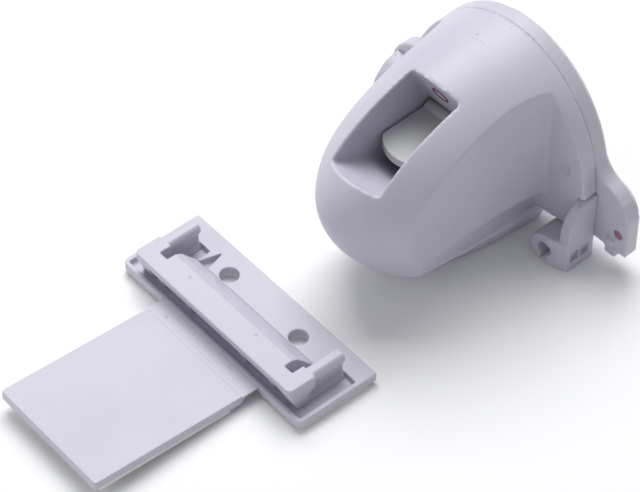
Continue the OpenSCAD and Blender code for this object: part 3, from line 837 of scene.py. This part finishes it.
@dataclass
class Finishes:
    """The finishes, each built once."""

    @cached_property
    def cover(self) -> Material:
        """Lilac-white plastic with the cover's own mould marks."""
        return MouldedPlastic("cover_plastic", marks=self.cover_marks).material()

    @cached_property
    def white(self) -> Material:
        """Lilac-white plastic of the plates and clips."""
        return MouldedPlastic("lilac_white_plastic", marks=self.plate_marks).material()

    @cached_property
    def inner(self) -> Material:
        """Plain plastic of the parts inside."""
        return MouldedPlastic(
            "inner_plastic_moulding",
            (0.60, 0.60, 0.67, 1.0),
            (0.57, 0.57, 0.64, 1.0),
            roughness=0.5,
            glow=0.0,
        ).material()

    @cached_property
    def grey(self) -> Material:
        """Light grey plastic of the lever."""
        return MouldedPlastic(
            "lever_grey_plastic",
            (0.49, 0.50, 0.50, 1.0),
            (0.465, 0.475, 0.475, 1.0),
            roughness=0.38,
            grain=0.000009,
            glow=0.0,
        ).material()

    @cached_property
    def foam(self) -> Material:
        """Off-white mounting foam."""
        return CellFoam("mounting_foam", (0.86, 0.86, 0.84, 1.0), (0.72, 0.72, 0.71, 1.0)).material()

    @cached_property
    def film(self) -> Material:
        """Dull red release film."""
        return RedFilm("release_film", (0.33, 0.15, 0.20, 1.0), (0.40, 0.23, 0.29, 1.0)).material()

    @cached_property
    def ink(self) -> Material:
        """Dark red print."""
        return PrintedInk("ring_print", (0.20, 0.012, 0.035, 1.0), (0.30, 0.05, 0.08, 1.0)).material()

    @cached_property
    def steel(self) -> Material:
        """Plated steel of screws and pins."""
        return BrightSteel("plated_steel", (0.62, 0.63, 0.65, 1.0)).material()

    @cached_property
    def wire(self) -> Material:
        """Drawn spring wire."""
        return BrightSteel("spring_wire", (0.55, 0.56, 0.58, 1.0), (1.0, 1.0, 1.0)).material()

    @property
    def cover_marks(self) -> tuple[Mark, ...]:
        """Sink, gate and specks of the cover, in the shared frame."""
        lock = Seat()
        return (
            # The flange sink's darkening is painted shade in its hollow.
            Mark(lock.point(0.02365, -0.005, 0.0273), (0.0027, 0.0012, 0.0029), 0.12, 0.0003),
            Mark(lock.point(-0.00165, -0.00995, 0.05505), (0.0045, 0.0003, 0.002), 0.1, 0.00004),
            Mark(lock.point(-0.0033, -0.0086, 0.0553), (0.0005, 0.0005, 0.001), 0.35, 0.00004),
            Mark(lock.point(0.00125, -0.0015, 0.0560), (0.0006, 0.0006, 0.001), 0.0, 0.00008),
        )

    @property
    def plate_marks(self) -> tuple[Mark, ...]:
        """Specks of the plates and clips, and the faint lines across the web."""
        return (
            Mark((-0.01224, -0.01470, 0.0033), (0.0006, 0.0004, 0.002), 0.35, 0.00004),
            Mark((-0.01374, -0.00620, 0.0100), (0.0006, 0.0005, 0.002), 0.3, 0.00005),
            Mark((0.01040, -0.00570, 0.0100), (0.0006, 0.0005, 0.002), 0.3, 0.00005),
            Mark((0.03555, 0.07420, 0.01944), (0.0006, 0.0006, 0.0007), 0.3, 0.00006),
            Mark((-0.03167, 0.07435, 0.02063), (0.0006, 0.0006, 0.0007), 0.3, 0.00006),
            Mark((-0.002, -0.01320, 0.003), (0.020, 0.00022, 0.001), 0.08, 0.00002),
            Mark((0.003, -0.01560, 0.003), (0.020, 0.00022, 0.001), 0.08, 0.00002),
        )


@dataclass
class Seat:
    """Where the lock body lies beside the catch plate."""

    x: float = 0.0056
    y: float = 0.0777
    yaw: float = 2.5

    def matrix(self) -> Matrix:
        """The turn and shift from the lock's own frame to the shared one."""
        turn = Matrix.Rotation(math.radians(self.yaw), 4, "Z")
        return Matrix.Translation((self.x, self.y, 0.0)) @ turn

    def point(self, x: float, y: float, z: float) -> Point:
        """A point of the lock's own frame, in the shared one."""
        return tuple(self.matrix() @ Vector((x, y, z)))

    def put(self, obj: Object) -> None:
        """Moves a mesh that was shaped in the lock's own frame to its place."""
        obj.data.transform(self.matrix())


@dataclass
class Cover:
    """The bullet-nosed cover: nose, scoops, flange, window and the well inside."""

    finishes: Finishes
    seat: Seat = field(default_factory=Seat)

    # The bullet form
    half_width: float = 0.0297
    seam_shift: float = 0.0006
    height: float = 0.056
    arch_spring: float = 0.021
    arch_power: float = 0.52
    nose_depth: float = 0.059
    nose_height: float = 0.028
    nose_power: float = 0.47
    foot_depth: float = 0.041
    foot_power: float = 1.6
    hood_share: float = 1.85
    wall: float = 0.002

    # The nose between the scoops
    core_half: float = 0.0158
    flare_reach: float = 0.0024
    flare_length: float = 0.020
    taper_height: float = 0.015
    rim_height: float = 0.005
    rim_half: float = 0.0151
    foot_half: float = 0.0134
    skirt_share: float = 1.8
    cove_radius: float = 0.0036
    cove_half: float = 0.0170
    cove_height: float = 0.0106
    cove_length: float = 0.050
    cove_sweep: float = 0.0026

    # The flange and its notch at the right fin
    flange: float = 0.005
    flange_edge: float = 0.0042
    flange_foot: float = 0.0091
    fin_half: float = 0.0335
    fin_height: float = 0.0208
    fin_inner: float = 0.0281
    headroom: float = 0.02

    # The window and the well, as places in depth and height
    window_half: float = 0.0079
    well_wall: float = 0.0016
    pin: Spot = (-0.0195, 0.0355)
    bore_radius: float = 0.0016
    cheek_rear: float = 0.003
    brow: Spot = (-0.0254, 0.0517)
    brow_foot: Spot = (-0.0195, 0.0391)
    sill: Spot = (-0.0475, 0.0364)
    ramp: Spot = (-0.0334, 0.0280)

    # Bosses and screw holes, as places in width and height
    boss: Spot = (0.007, 0.0495)
    boss_radius: float = 0.0023
    boss_length: float = 0.008
    rib_half: float = 0.001
    side_hole: Spot = (0.0248, 0.0283)
    hole_radius: float = 0.0012
    hole_depth: float = 0.0038

    # How finely the forms are drawn, and how far they overlap
    rows: int = 40
    columns: int = 96
    crown: float = 0.9995
    flare_steps: int = 32
    cove_steps: int = 25
    cell: float = 0.00052
    passes: int = 2
    over: float = 0.001
    lap: float = 0.00025
    bite: float = 0.00001

    def arch_reach(self, z: float, inset: float) -> float:
        """Half width of the arch at a height.

        Args:
            z: the height.
            inset: how far the form is drawn in.

        Returns:
            The half width.
        """
        if z <= self.arch_spring:
            return self.half_width - inset
        share = (z - self.arch_spring) / (self.height - inset - self.arch_spring)
        return (self.half_width - inset) * max(0.0, 1.0 - share**2) ** self.arch_power

    def nose_reach(self, z: float, inset: float) -> float:
        """Depth of the nose at a height.

        Args:
            z: the height.
            inset: how far the form is drawn in.

        Returns:
            The depth in front of the seam.
        """
        reach = self.nose_depth - inset
        if z >= self.nose_height:
            share = (z - self.nose_height) / (self.height - inset - self.nose_height)
            return reach * max(0.0, 1.0 - share**2) ** self.nose_power
        share = (self.nose_height - z) / self.nose_height
        return reach - (self.nose_depth - self.foot_depth) * share**self.foot_power

    def bullet(self, half: float, depth: float, share: float, rear: float) -> list[Spot]:
        """A rounded outline, open to the rear.

        Args:
            half: half its width.
            depth: its depth in front of the seam.
            share: how full its shoulders are.
            rear: how far it runs on behind.

        Returns:
            Points from one side round the front to the other.
        """
        points = [(half, rear)]
        for i in range(self.columns + 1):
            turn = math.pi * i / self.columns
            c, s = math.cos(turn), abs(math.sin(turn))
            x = math.copysign(half * abs(c) ** (2 / share), c)
            points.append((x, -depth * s ** (2 / share)))
        points.append((-half, rear))
        return points

    def hood(self, inset: float) -> Object:
        """The bullet form, closed behind the seam.

        Args:
            inset: how far the form is drawn in.

        Returns:
            The solid.
        """
        low, high = self.nose_height, self.height - inset
        levels = [-self.over] + [low * i / self.rows for i in range(self.rows + 1)]
        for i in range(1, self.rows + 1):
            share = math.sin(math.pi / 2 * i / self.rows)
            levels.append(low + (high - low) * min(share, self.crown))
        shift, deep = self.seam_shift, self.nose_depth
        rings = []
        for z in levels:
            half, depth = self.arch_reach(z, inset), self.nose_reach(z, inset)
            outline = self.bullet(half, depth, self.hood_share, self.over)
            rings.append([(x + shift * (1 + y / deep), y, z) for x, y in outline])
        return loft(rings)

    def core(self, inset: float, rear: float) -> Object:
        """The nose between the scoops.

        Args:
            inset: how far the form is drawn in.
            rear: how far it runs on behind the seam.

        Returns:
            The solid.
        """
        half = self.core_half - inset
        side = [(half + self.flare_reach, rear)]
        for i in range(self.flare_steps + 1):
            share = i / self.flare_steps
            reach = self.flare_reach * (1 - share) ** 3
            side.append((half + reach, -self.flange - self.flare_length * share))
        side.append((half, -self.nose_depth - self.over))
        outline = side + [(-x, y) for x, y in reversed(side)]
        nose = upright(outline, self.taper_height, 2 * self.height)
        above = [
            (x, y, self.taper_height + self.bite)
            for x in (-half, half)
            for y in (-self.nose_depth, rear)
        ]
        rim = (self.rim_height, self.rim_half, self.nose_reach(self.rim_height, inset))
        low = -self.over if inset else 0.0
        for z, width, depth in (rim, (low, self.foot_half, self.foot_depth - inset)):
            ring = self.bullet(width - inset, depth, self.skirt_share, rear)
            combine(nose, wrap(above + [(x, y, z) for x, y in ring]), Join.ADD)
            above = [(x, y, z + self.bite) for x, y in ring]
        for way in (-1, 1):
            cove = tube(self.cove(way), self.cove_radius + inset)
            combine(nose, cove, Join.CUT)
        return nose

    def cove(self, way: int) -> list[Point]:
        """The middle line of the cove under a scoop, which rises toward the front.

        Args:
            way: -1 for the left side, 1 for the right.

        Returns:
            Points from behind the seam to the front.
        """
        line = [(way * self.cove_half, 2 * self.over, self.cove_height)]
        for i in range(self.cove_steps + 1):
            t = i / self.cove_steps
            x = way * (self.cove_half + self.cove_sweep * t**3)
            z = self.cove_height + self.cove_sweep * t
            line.append((x, -self.cove_length * t, z))
        return line

    def well_outline(self) -> tuple[list[Spot], ...]:
        """Outlines of the well, in depth and height.

        Returns:
            Those of its cheek, brow, ramp and opening.
        """
        brow, foot = Vector(self.brow), Vector(self.brow_foot)
        sill, ramp = Vector(self.sill), Vector(self.ramp)
        up, out = (brow - foot).normalized(), (sill - ramp).normalized()
        brow_far, sill_far = brow + up * self.height, sill + out * self.height
        behind = Vector((up.y, -up.x)) * self.well_wall
        below = Vector((-out.y, out.x)) * self.well_wall
        cheek = [
            brow_far + behind,
            foot + behind,
            Vector((self.pin[0] + self.cheek_rear, self.ramp[1])),
            ramp + below,
            sill_far + below,
        ]
        strips = (
            [foot, brow_far, brow_far + behind, foot + behind],
            [ramp, sill_far, sill_far + below, ramp + below],
        )
        opening = [foot, brow_far, sill_far, ramp]
        return tuple([tuple(p) for p in way] for way in (cheek, *strips, opening))

    def skin(self) -> Object:
        """The hollow nose with its scoops and the flange.

        Returns:
            The solid, still in the lock's own frame.
        """
        shell = self.core(0.0, self.lap)
        side = [
            (self.fin_half, self.lap),
            (self.fin_half, -self.flange_edge),
            (self.half_width, -self.flange_edge),
            (self.core_half, -self.flange),
        ]
        plan = side + [(-x, y) for x, y in reversed(side)]
        flange = upright(plan, self.flange_foot, self.height + self.headroom)
        low = (self.fin_inner, -2 * self.flange, 0.0)
        high = (self.fin_half + self.over, self.over, self.fin_height)
        notch = block(low, high)
        combine(flange, notch, Join.CUT)
        combine(shell, flange, Join.ADD)
        combine(shell, self.hood(0.0), Join.KEEP)
        hollow = self.core(self.wall, self.over)
        combine(hollow, self.hood(self.wall), Join.KEEP)
        combine(shell, hollow, Join.CUT)
        return shell

    def well(self) -> Object:
        """The walls behind the window, and the bosses above them.

        Returns:
            The solid, still in the lock's own frame.
        """
        cheek, brow, ramp, _ = self.well_outline()
        inner, outer = self.window_half, self.window_half + self.well_wall
        walls = across(cheek, inner, outer)
        combine(walls, across(cheek, -outer, -inner), Join.ADD)
        combine(walls, across(brow, -outer, outer), Join.ADD)
        combine(walls, across(ramp, -outer, outer), Join.ADD)
        reach, z = self.boss
        front, half = -self.boss_length, self.rib_half
        for x in (-reach, reach):
            boss = rod((x, front, z), (x, 0.0, z), self.boss_radius)
            combine(walls, boss, Join.ADD)
            rib = block((x - half, front, z), (x + half, 0.0, self.height))
            combine(walls, rib, Join.ADD)
        combine(walls, self.hood(self.wall / 2), Join.KEEP)
        return walls

    def build(self) -> Object:
        """Builds the cover as one moulding.

        Returns:
            The finished piece.
        """
        shell = self.skin()
        combine(shell, self.well(), Join.ADD)
        *_, opening = self.well_outline()
        inner, over = self.window_half, self.over
        combine(shell, across(opening, -inner, inner), Join.CUT)
        y, z = self.pin
        reach = inner + self.well_wall + over
        bore = rod((-reach, y, z), (reach, y, z), self.bore_radius)
        combine(shell, bore, Join.CUT)
        for reach, z in (self.side_hole, self.boss):
            for x in (-reach, reach):
                ends = (x, -self.hole_depth, z), (x, over, z)
                combine(shell, rod(*ends, self.hole_radius), Join.CUT)
        recast(shell, self.cell, self.passes)
        self.seat.put(shell)
        return Piece("front_shell", "nose_cover", self.finishes.cover).hand_over(shell)


@dataclass
class BackPlate:
    """The plate behind the cover, with its clips, pad, film and screws."""

    finishes: Finishes
    seat: Seat = field(default_factory=Seat)
    plate_cell: float = 0.00038
    plate_passes: int = 2
    peg: Point = (0.0368, -0.0014, 0.0094)
    peg_radius: float = 0.0012
    spot: Point = (0.0382, 0.0003, 0.0122)
    spot_radius: float = 0.00142
    film_rear: float = 0.0053
    clip_cell: float = 0.00022

    def plate(self) -> Object:
        """The arch-shaped plate with its lobes and its peg, with soft edges.

        Returns:
            The plate.
        """
        piece = Piece("back_plate", "arch_plate", self.finishes.white)
        plate = node_copy(piece.node, piece.name, CAST_FLATTEN)
        x, y, z = self.peg
        peg = rod(self.peg, (x, -y, z), self.peg_radius)
        self.seat.put(peg)
        combine(plate, peg, Join.ADD)
        recast(plate, self.plate_cell, self.plate_passes)
        return piece.hand_over(plate)

    def film(self) -> Object:
        """The red film, drawn up into the six-sided hole nearly to the plate's face.

        Returns:
            The film.
        """
        piece = Piece("back_liner", "release_film", self.finishes.film, slot=Slot.FILM)
        film = node_copy(piece.node, piece.name)
        (x, front, z), r = self.spot, self.spot_radius
        turns = [math.pi * i / 3 for i in range(6)]
        ring = [(x + r * math.cos(t), z + r * math.sin(t)) for t in turns]
        spot = loft([[(a, y, b) for a, b in ring] for y in (front, self.film_rear)])
        self.seat.put(spot)
        combine(film, spot, Join.ADD)
        return piece.hand_over(film)

    def build(self) -> list[Object]:
        """Builds the plate and all that it carries.

        Returns:
            The pieces.
        """
        f = self.finishes
        clips = [Piece(f"{side}_hook_clip", f"{side}_hook", f.white) for side in ("left", "right")]
        return [
            self.plate(),
            *(clip.cast(self.clip_cell) for clip in clips),
            Piece("back_pad", "door_foam", f.foam, slot=Slot.FOAM).pad(),
            self.film(),
            dress_node("shell_screws", f.steel),
            dress_node("frame_screws", f.steel),
        ]


@dataclass
class Mechanism:
    """Lever, claw, pins, spring and the frame that carries them."""

    finishes: Finishes
    seat: Seat = field(default_factory=Seat)
    wire: float = 0.00025
    coil: float = 0.0018
    coils: int = 8
    spring_front: float = -0.01735
    spring_rear: float = -0.002
    spring_height: float = 0.02605
    steps: int = 20
    shortening: float = 0.00147
    lever_edge: float = 0.0005
    inner_edge: float = 0.0003

    def spring(self) -> Object:
        """The return spring, as one round wire wound in even turns.

        Returns:
            The spring.
        """
        length = self.spring_rear - self.spring_front
        pitch = (length - 4 * self.wire) / self.coils
        points = [(self.coil, 0.0, 0.0)]
        for i in range(self.coils * self.steps + 1):
            turn = 2 * math.pi * i / self.steps
            y = 2 * self.wire + pitch * i / self.steps
            points.append((self.coil * math.cos(turn), y, self.coil * math.sin(turn)))
        points.append((self.coil, length, 0.0))
        curve = bpy.data.curves.new("spring_line", "CURVE")
        curve.dimensions = "3D"
        curve.bevel_depth = self.wire
        curve.bevel_resolution = 3
        curve.use_fill_caps = True
        line = curve.splines.new("POLY")
        line.points.add(len(points) - 1)
        for point, (x, y, z) in zip(line.points, points):
            point.co = (x, y + self.spring_front, z + self.spring_height, 1.0)
        obj = bpy.data.objects.new("claw_spring", curve)
        bpy.context.scene.collection.objects.link(obj)
        pick(obj)
        bpy.ops.object.convert(target="MESH")
        spring = bpy.context.object
        bpy.ops.object.shade_smooth()
        self.seat.put(spring)
        piece = Piece("return_spring", "claw_spring", self.finishes.wire, slot=Slot.STEEL)
        piece.hand_over(spring)
        way = self.seat.matrix().to_3x3() @ Vector((0.0, 1.0, 0.0))
        anchor = self.seat.point(0.0, self.spring_rear, self.spring_height)
        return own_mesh(spring)

    def build(self) -> list[Object]:
        """Builds the lever, the claw and all round them.

        Returns:
            The pieces.
        """
        f = self.finishes
        lever = Piece("release_lever", "push_lever", f.grey, Body.LEVER, Slot.GREY)
        claw = Piece("latch_claw", "inner_claw", f.inner, Body.LATCH, Slot.INNER)
        carrier = Piece("inner_frame", "pin_frame", f.inner, slot=Slot.INNER)
        return [
            lever.soften(self.lever_edge),
            claw.soften(self.inner_edge),
            carrier.soften(self.inner_edge),
            self.spring(),
            dress_node("lever_pin", f.steel),
            dress_node("latch_pin", f.steel),
            dress_node("ring_mark", f.ink),
        ]


@dataclass
class CatchPlate:
    """The catch plate: tray, rail, pads, folding web and tongue."""

    finishes: Finishes
    tray_cell: float = 0.0002
    rail_cell: float = 0.00023
    tongue_edge: float = 0.00025
    web_rear: float = -0.01185
    web_front: float = -0.01665
    web_cuts: int = 14

    def web(self) -> Object:
        """The thin strip that folds, cut into narrow bands.

        Returns:
            The web.
        """
        web = node_copy("hinge_web", "folding_web")
        span = self.web_rear - self.web_front
        for i in range(1, self.web_cuts):
            pick(web)
            bpy.ops.object.mode_set(mode="EDIT")
            bpy.ops.mesh.select_all(action="SELECT")
            place = (0.0, self.web_front + span * i / self.web_cuts, 0.0)
            bpy.ops.mesh.bisect(plane_co=place, plane_no=(0.0, 1.0, 0.0))
            bpy.ops.object.mode_set(mode="OBJECT")
        bpy.ops.object.shade_smooth_by_angle(angle=SMOOTH_ANGLE)
        coat(web, self.finishes.white)
        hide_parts("hinge_web")
        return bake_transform(web)

    def build(self) -> list[Object]:
        """Builds the plate and the tongue.

        Returns:
            The pieces.
        """
        f, plate, tongue = self.finishes, Body.CATCH_PLATE, Body.TONGUE
        tray = Piece("base_tray", "shallow_tray", f.white, plate)
        rail = Piece("rail_bridge", "raised_rail", f.white, plate)
        flat = Piece("tongue_plate", "flat_tongue", f.white, tongue)
        return [
            tray.cast(self.tray_cell),
            rail.cast(self.rail_cell),
            Piece("base_pad", "tray_foam", f.foam, plate, Slot.FOAM).pad(),
            Piece("tongue_pad", "tongue_foam", f.foam, tongue, Slot.FOAM).pad(),
            self.web(),
            flat.soften(self.tongue_edge),
        ]


@dataclass(frozen=True)
class Lamp:
    """A soft square lamp: its name, place, side length and power in watts."""

    name: str
    place: Point
    size: float
    power: float


@dataclass
class Studio:
    """Pale floor, soft light and the camera."""

    eye: Point = (0.3553, -0.2781, 0.5199)
    forward: Point = (-0.5157, 0.4367, -0.7371)
    right: Point = (0.6476, 0.7620, 0.0)
    lens: float = 161.66
    sensor: float = 36.0
    floor_size: float = 6.0
    floor_drop: float = 0.00002
    floor_colour: Colour = (0.97, 0.97, 0.97, 1.0)
    floor_tint: Colour = (0.95, 0.95, 0.955, 1.0)
    floor_roughness: float = 0.85
    sky: Colour = (0.93, 0.95, 1.0, 1.0)
    sky_strength: float = 0.34
    middle: Point = (0.0, 0.03, 0.02)
    lamps: tuple[Lamp, ...] = (
        Lamp("overhead", (-0.38, 0.32, 0.85), 0.75, 9.1),
        Lamp("front", (-0.3, -0.9, 0.5), 0.6, 1.8),
    )

    def camera(self) -> None:
        """Sets the camera at the photograph's angle."""
        data = bpy.data.cameras.new("eye")
        data.sensor_fit = "HORIZONTAL"
        data.sensor_width = self.sensor
        data.lens = self.lens
        data.clip_start, data.clip_end = 0.01, 50.0
        camera = bpy.data.objects.new("eye", data)
        bpy.context.scene.collection.objects.link(camera)
        ahead = Vector(self.forward).normalized()
        side = Vector(self.right)
        side = (side - ahead * side.dot(ahead)).normalized()
        up = side.cross(ahead)
        turn = Matrix((side, up, -ahead)).transposed().to_4x4()
        camera.matrix_world = Matrix.Translation(self.eye) @ turn
        bpy.context.scene.camera = camera

    def floor(self) -> None:
        """Lays the pale floor."""
        deselect()
        place = (0, 0, -self.floor_drop)
        bpy.ops.mesh.primitive_plane_add(size=self.floor_size, location=place)
        floor = bpy.context.object
        floor.name = "studio_floor"
        graph = Graph("pale_floor")
        colour = graph.mix(graph.noise(3.0), self.floor_colour, self.floor_tint)
        finish = graph.dress(Base_Color=colour, Roughness=self.floor_roughness)
        floor.data.materials.append(finish)

    def hang(self, lamp: Lamp) -> None:
        """Hangs a lamp, facing the middle.

        Args:
            lamp: the lamp.
        """
        data = bpy.data.lights.new(lamp.name, "AREA")
        data.size = lamp.size
        data.energy = lamp.power
        obj = bpy.data.objects.new(lamp.name, data)
        bpy.context.scene.collection.objects.link(obj)
        way = Vector(self.middle) - Vector(lamp.place)
        turn = way.to_track_quat("-Z", "Y").to_matrix().to_4x4()
        obj.matrix_world = Matrix.Translation(lamp.place) @ turn

    def build(self) -> None:
        """Sets floor, lamps, sky and camera."""
        scene = bpy.context.scene
        scene.view_settings.view_transform = "Standard"
        world = bpy.data.worlds.new("soft_sky")
        scene.world = world
        world.use_nodes = True
        sky = world.node_tree.nodes["Background"]
        sky.inputs["Color"].default_value = self.sky
        sky.inputs["Strength"].default_value = self.sky_strength
        for lamp in self.lamps:
            self.hang(lamp)
        self.floor()
        self.camera()


def main() -> None:
    """Builds the object, lights it, and reports each piece."""
    logging.basicConfig(level=logging.INFO, format="%(name)s: %(message)s")
    finishes = Finishes()
    Studio().build()
    pieces = [Cover(finishes).build()]
    for part in (BackPlate(finishes), Mechanism(finishes), CatchPlate(finishes)):
        pieces += part.build()
    for piece in pieces:
        LOG.info("%s: %d faces", piece.name, len(piece.data.polygons))


if __name__ == "__main__":
    main()
